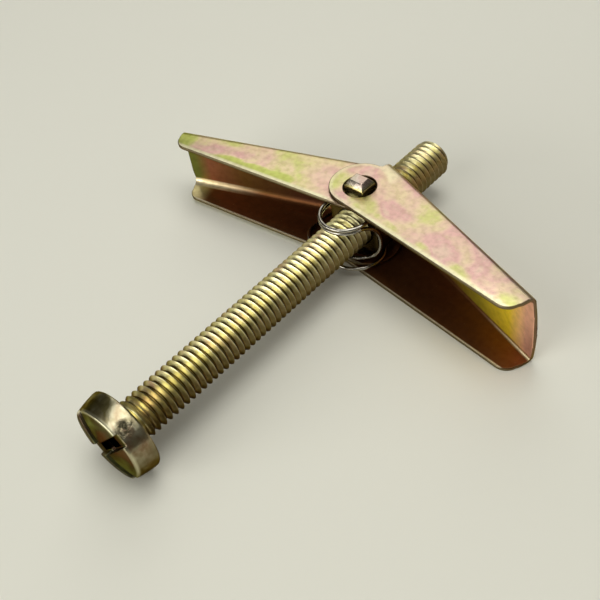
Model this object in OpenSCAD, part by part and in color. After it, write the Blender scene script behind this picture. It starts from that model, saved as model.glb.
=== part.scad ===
// Spring toggle bolt: a pan head machine screw, a trunnion nut on its thread,
// two nested folding wings on the nut's stubs, and one double torsion spring
// that holds the wings open.
// The thread is drawn as one groove round the shank for each turn, so that the
// shank stays a true round shaft for the nut to slide on.
// The origin is on the screw's axis where the head's bearing face is.
// +Y runs along the shank to the tip, and +Z is the wings' pivot axis.

/* [Screw] */
// Outside diameter of the thread
thread_d = 5.9; // [5:0.1:7]
// Distance between the turns of the thread
thread_pitch = 1; // [0.8:0.05:1.25]
// Depth of the thread's grooves
thread_depth = 0.55; // [0.4:0.05:0.65]
// Width of the thread's crest as a share of the distance between turns
crest_share = 0.2; // [0.12:0.02:0.6]
// Length of the shank under the head
screw_len = 62.7; // [58:0.1:80]
// Chamfer at the tip of the shank
tip_chamfer = 0.5; // [0.2:0.1:0.8]
// Largest diameter of the head
head_d = 11.8; // [10.9:0.1:13]
// Diameter of the rim round the head's domed face
head_face_d = 10.8; // [9:0.1:11.4]
// Height of the head's side
head_side_h = 3.3; // [2.8:0.1:4]
// Rise of the head's domed face
head_dome_h = 0.85; // [0.3:0.05:1.2]
// Edge radius under the head
head_edge_r = 0.3; // [0.2:0.05:0.6]
// Width of the two crossed drive slots
slot_w = 1.8; // [1.2:0.1:2]
// Depth of the drive slots below the rim
slot_depth = 0.4; // [0.3:0.05:1.2]
// Depth of the cross recess below the rim
recess_depth = 2.2; // [1.6:0.1:2.6]
// Diameter of the cross recess at the rim
recess_d = 6.8; // [5:0.1:7.5]

/* [Trunnion nut] */
// Distance of the pivot from the head's bearing face
nut_y = 45.7; // [42:0.1:50]
// Width of the nut's body across the screw
nut_w = 8.4; // [8:0.1:9]
// Thickness of the nut's body along the screw
nut_t = 4.2; // [3.6:0.1:4.6]
// Wall of the nut's body above the thread
nut_wall = 0.6; // [0.5:0.05:0.9]
// Corner radius of the nut's body
nut_corner_r = 1; // [0.5:0.1:1.5]
// Rise of each stub's end above the outer wing
stub_rise = 1.35; // [0.8:0.05:1.8]
// Thickness of each stub along the screw as a share of its width
stub_ratio = 0.84; // [0.7:0.02:1]
// Height of the sloped faces on each stub's end
stub_slope_h = 0.85; // [0.4:0.05:1.1]
// Inset of the sloped faces at the top
stub_slope_in = 0.6; // [0.3:0.05:0.9]

/* [Wings] */
// Thickness of the wings' sheet
sheet_t = 0.55; // [0.4:0.05:0.7]
// Length of the outer wing, on the right, from the pivot to its tip
right_len = 31.3; // [26:0.1:33]
// Length of the inner wing, on the left, from the pivot to its tip
left_len = 32.5; // [26:0.1:33]
// Angle of the open wings below square to the screw
wing_tilt = 18.4; // [14:0.2:22]
// Lean of the open pair of wings towards the right
wing_lean = 1.2; // [0:0.1:1.4]
// Angle between a wing's open edge and its fold
wing_taper = 11.4; // [10:0.1:13]
// Diameter of the pivot hole
hole_d = 4.7; // [4.4:0.1:5]
// Radius of the ear round the pivot
ear_r = 4.5; // [4.2:0.1:5]
// Offset of the ear's centre from the pivot, away from the tip
ear_back = 0.5; // [0:0.1:1]
// Offset of the ear's centre from the pivot, towards the web
ear_up = 0.4; // [0:0.1:1]
// Radius of the corner at the tip of the open edge
lobe_r = 2.1; // [0.8:0.1:2.4]
// Lean of the cheek's end at the tip
end_lean = 0.7; // [0:0.1:1.2]
// Bulge of the web's end at the tip
end_bulge = 0.6; // [0.2:0.1:1]
// Outside radius of the outer wing's folds
right_fold_r = 1; // [0.8:0.1:1.3]
// Outside radius of the inner wing's folds
left_fold_r = 1.6; // [1:0.1:1.7]

/* [Spring] */
// Diameter of the spring wire
wire_d = 0.55; // [0.4:0.05:0.65]
// Radius of the upper coil
upper_coil_r = 3.65; // [3.5:0.05:3.9]
// Shift of the upper coil to the right
upper_coil_x = 0.7; // [0.3:0.1:0.9]
// Reach of the upper coil towards the head
upper_coil_reach = 7.8; // [6:0.1:9]
// Radius of the lower coil's first turn
lower_coil_r = 3.2; // [3.1:0.05:3.4]
// Reach of the lower coil's first turn towards the head
lower_coil_reach = 4.2; // [4.2:0.1:4.6]
// Radius of the lower coil's last turn
outer_coil_r = 4.1; // [4:0.05:4.4]
// Distance along the right wing where the spring's leg ends
right_leg_u = 9.5; // [7:0.5:14]
// Distance along the left wing where the spring's leg ends
left_leg_u = 5; // [4:0.5:6]
// Reach of the hook in the left leg
hook_x = 8.7; // [7.5:0.1:10]

/* [Clearances] */
// Radial clearance of the thread in the nut
thread_clear = 0.05; // [0.02:0.01:0.1]
// Clearance of the stubs' corners in the pivot holes
pivot_clear = 0.18; // [0.08:0.01:0.3]
// Gap between the nested cheeks of the two wings
nest_clear = 0.08; // [0.05:0.01:0.15]
// Half the gap between the two webs where they stop each other
stop_clear = 0.08; // [0.05:0.01:0.15]
// Gap between the notch in each web and the screw
notch_clear = 0.3; // [0.25:0.01:0.4]
// Gap between the ears and the other wing's web
web_clear = 0.7; // [0.3:0.05:0.9]
// Room beside the coils of the spring
coil_clear = 0.05; // [0.03:0.01:0.1]

/* [Hidden] */
$fn = 64;
// Overlap that makes a cut run past a face
past = 1;

// Screw
thread_r = thread_d / 2;
head_r = head_d / 2;
face_r = head_face_d / 2;
dome_r = (face_r * face_r + head_dome_h * head_dome_h) / (2 * head_dome_h);
slot_angle = 45;

// Trunnion nut and spring, stacked from the screw outwards
bore_r = thread_r + thread_clear;
nut_top = bore_r + nut_wall;
wire_r = wire_d / 2;
wire_step = wire_d + coil_clear / 4;
coil_z1 = nut_top + wire_r + coil_clear / 2;
coil_z2 = coil_z1 + wire_step;

// Wings, nested round the coils
inner_room = coil_z2 + wire_r + 2 * coil_clear;
inner_half = inner_room + sheet_t;
outer_half = inner_half + nest_clear + sheet_t;
ear_c = [-ear_back, ear_up];
web_out = ear_r + norm(ear_c) + web_clear + sheet_t;
web_in = web_out - sheet_t;
web_mid = web_out - sheet_t / 2;
web_start = -(web_in * tan(wing_tilt) - stop_clear / cos(wing_tilt));
notch_c = -web_mid * tan(wing_tilt);
notch_r = thread_r / cos(wing_tilt) + sheet_t / 2 * tan(wing_tilt) + notch_clear;
edge_a = wing_taper - 90;
ear_stop_a = 112;

// Stubs of the nut
stub_w = 2 * (hole_d / 2 - pivot_clear) / norm([1, stub_ratio]);
stub_d = stub_w * stub_ratio;
stub_top = outer_half + stub_rise;
slope_a = atan(stub_slope_in / stub_slope_h);

// Points on an arc about a centre, from angle a0 to a1
function arc(c, r, a0, a1, n) =
    [for (i = [0:n]) let (a = a0 + (a1 - a0) * i / n) c + r * [cos(a), sin(a)]];

// Solid from an outline in X and Z, along Y from y0 to y1
module along_y(y0, y1) {
    translate([0, y1, 0])
        rotate([90, 0, 0])
            linear_extrude(height = y1 - y0)
                children();
}

// Solid of revolution about the screw's axis: outline in radius and Y
module turned_about_y() {
    rotate([-90, 0, 0])
        rotate_extrude()
            children();
}

// ---------------------------------------------------------------- screw
module head_blank() {
    intersection() {
        turned_about_y()
            polygon(concat(
                [[0, 0]],
                arc([head_r - head_edge_r, -head_edge_r], head_edge_r, 90, 0, 6),
                [[face_r, -head_side_h]],
                [[face_r, -head_side_h - head_dome_h]],
                [[0, -head_side_h - head_dome_h]]));
        translate([0, -head_side_h - head_dome_h + dome_r, 0])
            sphere(r = dome_r, $fn = 128);
    }
}

module drive_slots() {
    slot_bottom = -head_side_h + slot_depth;
    recess_bottom = -head_side_h + recess_depth;
    for (a = [slot_angle, slot_angle + 90])
        rotate([0, a, 0])
            translate([-head_r - past, -head_side_h - head_dome_h - past, -slot_w / 2])
                cube([2 * (head_r + past), slot_bottom + head_side_h + head_dome_h + past, slot_w]);
    intersection() {
        turned_about_y()
            polygon([
                [0, recess_bottom],
                [recess_d / 5, recess_bottom],
                [recess_d / 2, -head_side_h],
                [recess_d / 2, -head_side_h - head_dome_h - past],
                [0, -head_side_h - head_dome_h - past]]);
        for (a = [slot_angle, slot_angle + 90])
            rotate([0, a, 0])
                translate([-recess_d, -head_side_h - head_dome_h - past, -slot_w / 2])
                    cube([2 * recess_d, recess_bottom + head_side_h + head_dome_h + past, slot_w]);
    }
}

module threaded_shank() {
    turns = floor((screw_len - tip_chamfer - thread_pitch / 2) / thread_pitch);
    flank = thread_pitch * (1 - crest_share) / 2;
    turned_about_y()
        polygon(concat(
            [[0, -past], [thread_r, -past]],
            [for (k = [1:turns], step = [-1:1])
                [thread_r - thread_depth * (1 - abs(step)), k * thread_pitch + step * flank]],
            [[thread_r, screw_len - tip_chamfer]],
            [[thread_r - tip_chamfer, screw_len]],
            [[0, screw_len]]));
}

module screw() {
    color("darkkhaki")
        union() {
            difference() {
                head_blank();
                drive_slots();
            }
            threaded_shank();
        }
}

// --------------------------------------------------------- trunnion nut
module stub_bar() {
    difference() {
        translate([-stub_w / 2, -stub_d / 2, -stub_top])
            cube([stub_w, stub_d, 2 * stub_top]);
        for (end = [0, 180], side = [0:90:270])
            rotate([end, 0, 0])
                rotate([0, 0, side])
                    translate([(side % 180 == 0 ? stub_w : stub_d) / 2, -stub_w, stub_top - stub_slope_h])
                        rotate([0, -slope_a, 0])
                            cube([stub_w, 2 * stub_w, 2 * stub_rise]);
    }
}

module nut_body() {
    x = nut_w / 2 - nut_corner_r;
    z = nut_top - nut_corner_r;
    along_y(-nut_t / 2, nut_t / 2)
        polygon(concat(
            arc([x, z], nut_corner_r, 0, 90, 8),
            arc([-x, z], nut_corner_r, 90, 180, 8),
            arc([-x, -z], nut_corner_r, 180, 270, 8),
            arc([x, -z], nut_corner_r, 270, 360, 8)));
}

module trunnion_nut() {
    color("rosybrown")
        translate([0, nut_y, 0])
            difference() {
                union() {
                    nut_body();
                    stub_bar();
                }
                rotate([90, 0, 0])
                    cylinder(r = bore_r, h = nut_t + 2 * past, center = true);
            }
}

// ---------------------------------------------------------------- wings
// Outline of a cheek: u runs along the wing from the pivot to the tip, and
// w runs from the pivot to the web
function lobe_centre(len) =
    let (t = ear_c + ear_r * [cos(edge_a), sin(edge_a)],
         n = [-sin(wing_taper), cos(wing_taper)],
         u = len - end_lean - lobe_r,
         s = (u - t[0] - lobe_r * n[0]) / cos(wing_taper))
    t + s * [cos(wing_taper), sin(wing_taper)] + lobe_r * n;

function cheek_outline(len, fold_r) = concat(
    [[web_start, web_in - fold_r], [web_start, web_out], [len, web_out]],
    arc(lobe_centre(len), lobe_r, 0, edge_a, 10),
    arc(ear_c, ear_r, edge_a, ear_stop_a - 360, 28));

// Folded sheet of a wing, open at negative w, before its cheeks are cut
module channel(half, len, fold_r) {
    rotate([90, 0, 90])
        translate([0, 0, -3 * ear_r])
            linear_extrude(height = len + 4 * ear_r)
                difference() {
                    polygon(concat(
                        [[-2 * web_out, -half]],
                        arc([web_out - fold_r, fold_r - half], fold_r, -90, 0, 8),
                        arc([web_out - fold_r, half - fold_r], fold_r, 0, 90, 8),
                        [[-2 * web_out, half]]));
                    polygon(concat(
                        [[-3 * web_out, sheet_t - half]],
                        arc([web_out - fold_r, fold_r - half], fold_r - sheet_t, -90, 0, 8),
                        arc([web_out - fold_r, half - fold_r], fold_r - sheet_t, 0, 90, 8),
                        [[-3 * web_out, half - sheet_t]]));
                }
}

// Room inside the bulged end, a wide cylinder square to the web
module end_limit(half, len) {
    bulge_r = (half * half + end_bulge * end_bulge) / (2 * end_bulge);
    translate([len - bulge_r, 0, 0])
        rotate([90, 0, 0])
            cylinder(r = bulge_r, h = 4 * web_out, center = true, $fn = 256);
}

module wing(half, len, fold_r) {
    difference() {
        intersection() {
            channel(half, len, fold_r);
            translate([0, 0, -half - past])
                linear_extrude(height = 2 * (half + past))
                    polygon(cheek_outline(len, fold_r));
            end_limit(half, len);
        }
        cylinder(d = hole_d, h = 2 * (half + past), center = true);
        translate([notch_c, 0, 0])
            rotate([-90, 0, 0])
                cylinder(r = notch_r, h = 2 * web_out);
    }
}

module wing_right() {
    color("tan")
        translate([0, nut_y, 0])
            rotate([0, 0, -wing_tilt - wing_lean])
                wing(outer_half, right_len, right_fold_r);
}

module wing_left() {
    color("burlywood")
        translate([0, nut_y, 0])
            mirror([1, 0, 0])
                rotate([0, 0, wing_lean - wing_tilt])
                    wing(inner_half, left_len, left_fold_r);
}

// --------------------------------------------------------------- spring
// The wire's centre line is worked out from the pivot
stub_half = stub_d / 2;

// Centre of the back of a turn that just clears the stub's far corner
function back_centre(x, r) =
    stub_half - sqrt(pow(r - wire_r - coil_clear, 2) - pow(stub_w / 2 + abs(x), 2));

// Part of a turn about [x, y], from angle a0 to a1, falling from z0 to z1
function turn(x, y, r, a0, a1, z0, z1) =
    let (n = max(2, round(abs(a1 - a0) / 15)))
    [for (i = [0:n])
        let (f = i / n, a = a0 + (a1 - a0) * f)
        [x + r * cos(a), y + r * sin(a), z0 + (z1 - z0) * f]];

// Turn whose centre and radius change evenly on the way
function spiral(x0, y0, r0, x1, y1, r1, a0, a1, z0, z1) =
    let (n = max(2, round(abs(a1 - a0) / 15)))
    [for (i = [0:n])
        let (f = i / n, a = a0 + (a1 - a0) * f, r = r0 + (r1 - r0) * f)
        [x0 + (x1 - x0) * f + r * cos(a), y0 + (y1 - y0) * f + r * sin(a), z0 + (z1 - z0) * f]];

// Smooth bend from p0 to p3, leaving towards p1 and arriving from p2
function bend(p0, p1, p2, p3, n) =
    [for (i = [1:n])
        let (f = i / (n + 1), g = 1 - f)
        g * g * g * p0 + 3 * f * g * g * p1 + 3 * f * f * g * p2 + f * f * f * p3];

// Point against the inside of a web, u along the wing; side is 1 or -1
function on_web(side, u, z) =
    let (w = web_in - wire_r - coil_clear, a = wing_tilt + side * wing_lean)
    [side * (u * cos(a) + w * sin(a)), w * cos(a) - u * sin(a), z];

upper_back = back_centre(upper_coil_x, upper_coil_r);
upper_front = upper_coil_r - upper_coil_reach;
lower_back = back_centre(0, lower_coil_r);
lower_front = lower_coil_r - lower_coil_reach;
outer_back = back_centre(0, outer_coil_r);
bridge_mid = [nut_w / 2 + wire_d + 0.25, -nut_t / 2 - wire_r, 0];

leg_start = on_web(1, right_leg_u, coil_z2);
coil_start = turn(upper_coil_x, upper_back, upper_coil_r, 80, 180, coil_z2, coil_z2);
bridge_top = [upper_coil_x + upper_coil_r * cos(-20), upper_front - upper_coil_r * sin(20), coil_z1];
bridge_low = [lower_coil_r * cos(50), lower_front - lower_coil_r * sin(50), -coil_z1];
hook_start = [0, outer_back - outer_coil_r, -coil_z2];
hook_tip = [-hook_x, outer_back - 0.4, -coil_z2];
leg_end = on_web(-1, left_leg_u, -coil_z1);

spring_path = concat(
    [leg_start],
    bend(leg_start, leg_start + [-3, 0.6, 0], coil_start[0] + [2.5, 0.2, 0], coil_start[0], 4),
    coil_start,
    turn(upper_coil_x, upper_front, upper_coil_r, 180, 360, coil_z2, coil_z2),
    turn(upper_coil_x, upper_back, upper_coil_r, 0, 60, coil_z2 - wire_step / 3, coil_z1),
    turn(upper_coil_x, upper_back, upper_coil_r, 75, 180, coil_z1, coil_z1),
    turn(upper_coil_x, upper_front, upper_coil_r, 180, 340, coil_z1, coil_z1),
    bend(bridge_top, bridge_top + [0.4, 1.1, 0], bridge_mid + [0, 0, 2.6], bridge_mid, 7),
    [bridge_mid],
    bend(bridge_mid, bridge_mid - [0, 0, 2.6], bridge_low + [1.2, 1, -0.1], bridge_low, 7),
    turn(0, lower_front, lower_coil_r, -50, -180, -coil_z1, -coil_z1),
    turn(0, lower_back, lower_coil_r, 180, 90, -coil_z1, -coil_z1),
    spiral(0, lower_back, lower_coil_r, 0, outer_back, outer_coil_r, 75, 15, -coil_z1 - 0.05, -coil_z2),
    turn(0, outer_back, outer_coil_r, 0, -90, -coil_z2, -coil_z2),
    bend(hook_start, hook_start + [-4, 0, 0], hook_tip + [0.1, -2.1, 0], hook_tip, 10),
    [hook_tip],
    bend(hook_tip, hook_tip + [0, 1.5, 0], leg_end + [-2, -0.6, 0], leg_end, 7),
    [leg_end]);

function unit(v) = v / norm(v);
function heading(p, i) = unit(p[min(i + 1, len(p) - 1)] - p[max(i - 1, 0)]);

// Side vector at each point, carried along so that the wire doesn't twist
function sides_of(p, i, last) =
    i >= len(p) ? [] :
    let (t = heading(p, i), s = unit(last - (last * t) * t))
    concat([s], sides_of(p, i + 1, s));

module wire(path, r, sides) {
    s = sides_of(path, 0, [0, 0, 1]);
    points = [
        for (i = [0:len(path) - 1])
            let (t = heading(path, i), b = cross(t, s[i]))
            for (k = [0:sides - 1])
                let (a = 360 * k / sides)
                path[i] + r * (cos(a) * s[i] + sin(a) * b)];
    last = (len(path) - 1) * sides;
    walls = [
        for (i = [0:len(path) - 2], k = [0:sides - 1])
            let (n = (k + 1) % sides)
            [i * sides + k, (i + 1) * sides + k, (i + 1) * sides + n, i * sides + n]];
    ends = [
        [for (k = [0:sides - 1]) k],
        [for (k = [sides - 1:-1:0]) last + k]];
    polyhedron(points = points, faces = concat(walls, ends), convexity = 10);
}

module spring() {
    color("silver")
        translate([0, nut_y, 0])
            wire(spring_path, wire_r, 10);
}

screw();
trunnion_nut();
wing_right();
wing_left();
spring();
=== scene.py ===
import math
import bmesh
import bpy
import numpy as np
from mathutils import Euler, Matrix, Vector


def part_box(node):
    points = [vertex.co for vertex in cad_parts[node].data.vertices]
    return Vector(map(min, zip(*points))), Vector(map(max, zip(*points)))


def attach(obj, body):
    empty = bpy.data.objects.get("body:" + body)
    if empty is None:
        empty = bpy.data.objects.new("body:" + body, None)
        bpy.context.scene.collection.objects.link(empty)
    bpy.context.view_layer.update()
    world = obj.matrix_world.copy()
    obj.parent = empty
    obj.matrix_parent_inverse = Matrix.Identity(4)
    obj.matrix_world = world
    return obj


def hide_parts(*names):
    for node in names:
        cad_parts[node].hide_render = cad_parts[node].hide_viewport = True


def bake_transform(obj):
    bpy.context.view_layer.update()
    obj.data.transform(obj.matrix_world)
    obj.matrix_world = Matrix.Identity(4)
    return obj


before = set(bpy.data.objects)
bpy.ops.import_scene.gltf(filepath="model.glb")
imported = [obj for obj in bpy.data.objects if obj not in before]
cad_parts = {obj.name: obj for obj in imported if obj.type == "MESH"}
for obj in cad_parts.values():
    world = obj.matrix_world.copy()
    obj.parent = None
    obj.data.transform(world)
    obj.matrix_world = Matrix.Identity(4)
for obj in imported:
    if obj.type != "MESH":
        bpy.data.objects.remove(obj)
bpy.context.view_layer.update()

# Screw thread: a coarse metric thread rolled into the shank, with narrow crests
# and a shallow run-out under the head. It is one steel piece with the head,
# zinc plated and passivated to gold, with painted shade in brown underneath and
# in the roots.
mm = 0.001
thread_pitch = 1.0 * mm
crest_r = 2.94 * mm
groove_depth = 0.58 * mm
thread_start = -0.4 * mm
run_out = 3.0 * mm
tip_chamfer = 0.5 * mm
inside_box = 0.005 * mm
spare_turns = 3
first_groove = 0.25
groove_shape = ((0.06, 0.94), (0.46, 0.07), (0.48, 0.0), (0.52, 0.0), (0.54, 0.07), (0.94, 0.94))
columns_a_turn = 56
rows_a_pitch = 20
weld_gap = 0.002 * mm


def maths(tree, operation, a, b=None, c=None):
    """A maths node's result; each value is a number or a socket."""
    node = tree.nodes.new("ShaderNodeMath")
    node.operation = operation
    for socket, value in zip(node.inputs, (a, b, c)):
        if isinstance(value, (int, float)):
            socket.default_value = value
        elif value is not None:
            tree.links.new(value, socket)
    return node.outputs[0]


def fade(tree, value, low, high):
    """A smooth step from 0 at low to 1 at high."""
    node = tree.nodes.new("ShaderNodeMapRange")
    node.interpolation_type = "SMOOTHSTEP"
    node.inputs["From Min"].default_value = low
    node.inputs["From Max"].default_value = high
    tree.links.new(value, node.inputs["Value"])
    return node.outputs[0]


def new_tree(name, kind, inputs, outputs):
    """A node tree with named inputs (name, type, value) and outputs (name, type)."""
    tree = bpy.data.node_groups.new(name, kind)
    for label, socket_type, value in inputs:
        socket = tree.interface.new_socket(label, in_out="INPUT", socket_type=socket_type)
        if value is not None:
            socket.default_value = value
    for label, socket_type in outputs:
        tree.interface.new_socket(label, in_out="OUTPUT", socket_type=socket_type)
    return tree, tree.nodes.new("NodeGroupInput").outputs, tree.nodes.new("NodeGroupOutput").inputs


def finish_tree(tree, geometry, material, result):
    """Ends a geometry tree in smooth shading, Realize Instances and Set Material."""
    for kind in ("GeometryNodeSetShadeSmooth", "GeometryNodeRealizeInstances", "GeometryNodeSetMaterial"):
        node = tree.nodes.new(kind)
        tree.links.new(geometry, node.inputs["Geometry"])
        geometry = node.outputs["Geometry"]
    tree.links.new(material, node.inputs["Material"])
    tree.links.new(geometry, result)


# A flat sheet is rolled into a helix, one turn to each pitch, with the groove's
# section across it. Its ends are drawn in to the axis, so the mesh is closed.
thread_tree, given, result = new_tree(
    "rolled_thread",
    "GeometryNodeTree",
    [
        ("Pitch", "NodeSocketFloat", thread_pitch),
        ("Crest radius", "NodeSocketFloat", crest_r),
        ("Depth", "NodeSocketFloat", groove_depth),
        ("Start", "NodeSocketFloat", thread_start),
        ("End", "NodeSocketFloat", 60.0 * mm),
        ("Chamfer", "NodeSocketFloat", tip_chamfer),
        ("Run-out", "NodeSocketFloat", run_out),
        ("Columns", "NodeSocketInt", columns_a_turn),
        ("Rows", "NodeSocketInt", rows_a_pitch),
        ("Material", "NodeSocketMaterial", None),
    ],
    [("Geometry", "NodeSocketGeometry")],
)
pitch, start, end = given["Pitch"], given["Start"], given["End"]
length = maths(thread_tree, "SUBTRACT", end, start)
turns = maths(thread_tree, "CEIL", maths(thread_tree, "DIVIDE", length, pitch))
turns = maths(thread_tree, "ADD", turns, spare_turns)
sheet = thread_tree.nodes.new("GeometryNodeMeshGrid")
sheet.inputs["Size X"].default_value = 1.0
sheet.inputs["Size Y"].default_value = 1.0
across = maths(thread_tree, "MULTIPLY_ADD", turns, given["Columns"], 1)
thread_tree.links.new(across, sheet.inputs["Vertices X"])
thread_tree.links.new(maths(thread_tree, "ADD", given["Rows"], 1), sheet.inputs["Vertices Y"])
spot = thread_tree.nodes.new("ShaderNodeSeparateXYZ")
thread_tree.links.new(thread_tree.nodes.new("GeometryNodeInputPosition").outputs[0], spot.inputs[0])
turn = maths(thread_tree, "MULTIPLY", maths(thread_tree, "ADD", spot.outputs["X"], 0.5), turns)
phase = maths(thread_tree, "ADD", spot.outputs["Y"], 0.5)
before = maths(thread_tree, "MULTIPLY_ADD", pitch, -spare_turns / 2, start)
y = maths(thread_tree, "MULTIPLY_ADD", maths(thread_tree, "ADD", turn, phase), pitch, before)
groove = thread_tree.nodes.new("ShaderNodeFloatCurve")
thread_tree.links.new(phase, groove.inputs["Value"])
flanks = groove.mapping.curves[0]
flanks.points[0].location = (0.0, 1.0)
flanks.points[1].location = (1.0, 1.0)
for along, depth in groove_shape:
    flanks.points.new(along, depth)
groove.mapping.update()
full = maths(thread_tree, "DIVIDE", maths(thread_tree, "SUBTRACT", y, start), given["Run-out"])
full = maths(thread_tree, "MULTIPLY_ADD", full, 1 - first_groove, first_groove)
full = maths(thread_tree, "MINIMUM", full, 1)
cut = maths(thread_tree, "MULTIPLY", maths(thread_tree, "MULTIPLY", given["Depth"], full), groove.outputs[0])
radius = maths(thread_tree, "SUBTRACT", given["Crest radius"], cut)
y_in = maths(thread_tree, "MINIMUM", maths(thread_tree, "MAXIMUM", y, start), end)
to_end = maths(thread_tree, "SUBTRACT", maths(thread_tree, "ADD", y_in, given["Chamfer"]), end)
cone = maths(thread_tree, "SUBTRACT", given["Crest radius"], maths(thread_tree, "MAXIMUM", to_end, 0))
radius = maths(thread_tree, "MINIMUM", radius, cone)
for past in (maths(thread_tree, "SUBTRACT", y, end), maths(thread_tree, "SUBTRACT", start, y)):
    share = maths(thread_tree, "DIVIDE", maths(thread_tree, "MAXIMUM", past, 0), pitch)
    close = maths(thread_tree, "MULTIPLY_ADD", share, -2, 1)
    radius = maths(thread_tree, "MULTIPLY", radius, maths(thread_tree, "MAXIMUM", close, 0))
angle = maths(thread_tree, "MULTIPLY", turn, 2 * math.pi)
ring_x = maths(thread_tree, "MULTIPLY", radius, maths(thread_tree, "SINE", angle))
ring_z = maths(thread_tree, "MULTIPLY", radius, maths(thread_tree, "COSINE", angle))
ring = thread_tree.nodes.new("ShaderNodeCombineXYZ")
thread_tree.links.new(ring_x, ring.inputs["X"])
thread_tree.links.new(y_in, ring.inputs["Y"])
thread_tree.links.new(ring_z, ring.inputs["Z"])
wrap = thread_tree.nodes.new("GeometryNodeSetPosition")
thread_tree.links.new(sheet.outputs["Mesh"], wrap.inputs["Geometry"])
thread_tree.links.new(ring.outputs[0], wrap.inputs["Position"])
weld = thread_tree.nodes.new("GeometryNodeMergeByDistance")
weld.inputs["Distance"].default_value = weld_gap
thread_tree.links.new(wrap.outputs[0], weld.inputs["Geometry"])
finish_tree(thread_tree, weld.outputs["Geometry"], given["Material"], result["Geometry"])


def noise(tree, vector, scale, detail=3.0, roughness=0.55, distortion=0.0):
    """A noise texture's value at a vector."""
    node = tree.nodes.new("ShaderNodeTexNoise")
    node.inputs["Scale"].default_value = scale
    node.inputs["Detail"].default_value = detail
    node.inputs["Roughness"].default_value = roughness
    node.inputs["Distortion"].default_value = distortion
    tree.links.new(vector, node.inputs["Vector"])
    return node.outputs["Fac"]


def mixed(tree, factor, a, b, mode="MIX"):
    """Two colours mixed; each value is a socket, a number or a colour."""
    node = tree.nodes.new("ShaderNodeMix")
    node.data_type = "RGBA"
    node.blend_type = mode
    for socket, value in ((node.inputs[0], factor), (node.inputs[6], a), (node.inputs[7], b)):
        if isinstance(value, (int, float)):
            socket.default_value = value
        elif isinstance(value, tuple):
            socket.default_value = (*value, 1.0)
        else:
            tree.links.new(value, socket)
    return node.outputs[2]


def tinted(tree, value, stops):
    """A colour ramp's colour; stops are (place, (r, g, b))."""
    node = tree.nodes.new("ShaderNodeValToRGB")
    elements = node.color_ramp.elements
    elements.remove(elements[-1])
    elements[0].position, elements[0].color = stops[0][0], (*stops[0][1], 1.0)
    for place, colour in stops[1:]:
        elements.new(place).color = (*colour, 1.0)
    tree.links.new(value, node.inputs["Fac"])
    return node.outputs["Color"]


def parts_of(tree, vector):
    """The X, Y and Z of a vector."""
    node = tree.nodes.new("ShaderNodeSeparateXYZ")
    tree.links.new(vector, node.inputs[0])
    return node.outputs["X"], node.outputs["Y"], node.outputs["Z"]


def distance_out(tree, a, b):
    """The length of a line with the sides a and b."""
    return maths(tree, "SQRT", maths(tree, "MULTIPLY_ADD", a, a, maths(tree, "MULTIPLY", b, b)))


# The grain of plated steel: an orange-peel bump with fine pits and a few dark
# specks, as a normal and two masks.
grain, given, result = new_tree(
    "plated_grain",
    "ShaderNodeTree",
    [
        ("Vector", "NodeSocketVector", None),
        ("Strength", "NodeSocketFloat", 0.3),
        ("Fineness", "NodeSocketFloat", 1.0),
    ],
    [("Normal", "NodeSocketVector"), ("Peel", "NodeSocketFloat"), ("Specks", "NodeSocketFloat")],
)
finer = grain.nodes.new("ShaderNodeVectorMath")
finer.operation = "SCALE"
grain.links.new(given["Vector"], finer.inputs[0])
grain.links.new(given["Fineness"], finer.inputs["Scale"])
peel = noise(grain, finer.outputs[0], 1150.0, detail=2.0, roughness=0.5)
pits = noise(grain, finer.outputs[0], 4200.0, detail=3.0, roughness=0.6)
swell = noise(grain, finer.outputs[0], 260.0, detail=2.0, roughness=0.5)
rough = maths(grain, "MULTIPLY_ADD", pits, 0.25, maths(grain, "MULTIPLY_ADD", swell, 0.9, peel))
bump = grain.nodes.new("ShaderNodeBump")
bump.inputs["Distance"].default_value = 0.06 * mm
grain.links.new(rough, bump.inputs["Height"])
grain.links.new(given["Strength"], bump.inputs["Strength"])
grain.links.new(bump.outputs[0], result["Normal"])
grain.links.new(peel, result["Peel"])
specks = noise(grain, finer.outputs[0], 2600.0, detail=2.0, roughness=0.6)
grain.links.new(fade(grain, specks, 0.68, 0.78), result["Specks"])


def new_finish(name, metallic, roughness, edge_tint=(0.60, 0.50, 0.26)):
    """A material, with its tree, its Principled shader and its object coordinates."""
    material = bpy.data.materials.new(name)
    material.use_nodes = True
    tree = material.node_tree
    shader = tree.nodes["Principled BSDF"]
    shader.inputs["Metallic"].default_value = metallic
    shader.inputs["Roughness"].default_value = roughness
    shader.inputs["Specular Tint"].default_value = (*edge_tint, 1.0)
    return material, tree, shader, tree.nodes.new("ShaderNodeTexCoord").outputs["Object"]


def placed(tree, group, **values):
    """A node group in a material, with its inputs set to numbers or sockets."""
    node = tree.nodes.new("ShaderNodeGroup")
    node.node_tree = group
    for name, value in values.items():
        if isinstance(value, (int, float)):
            node.inputs[name].default_value = value
        else:
            tree.links.new(value, node.inputs[name])
    return node.outputs
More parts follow.
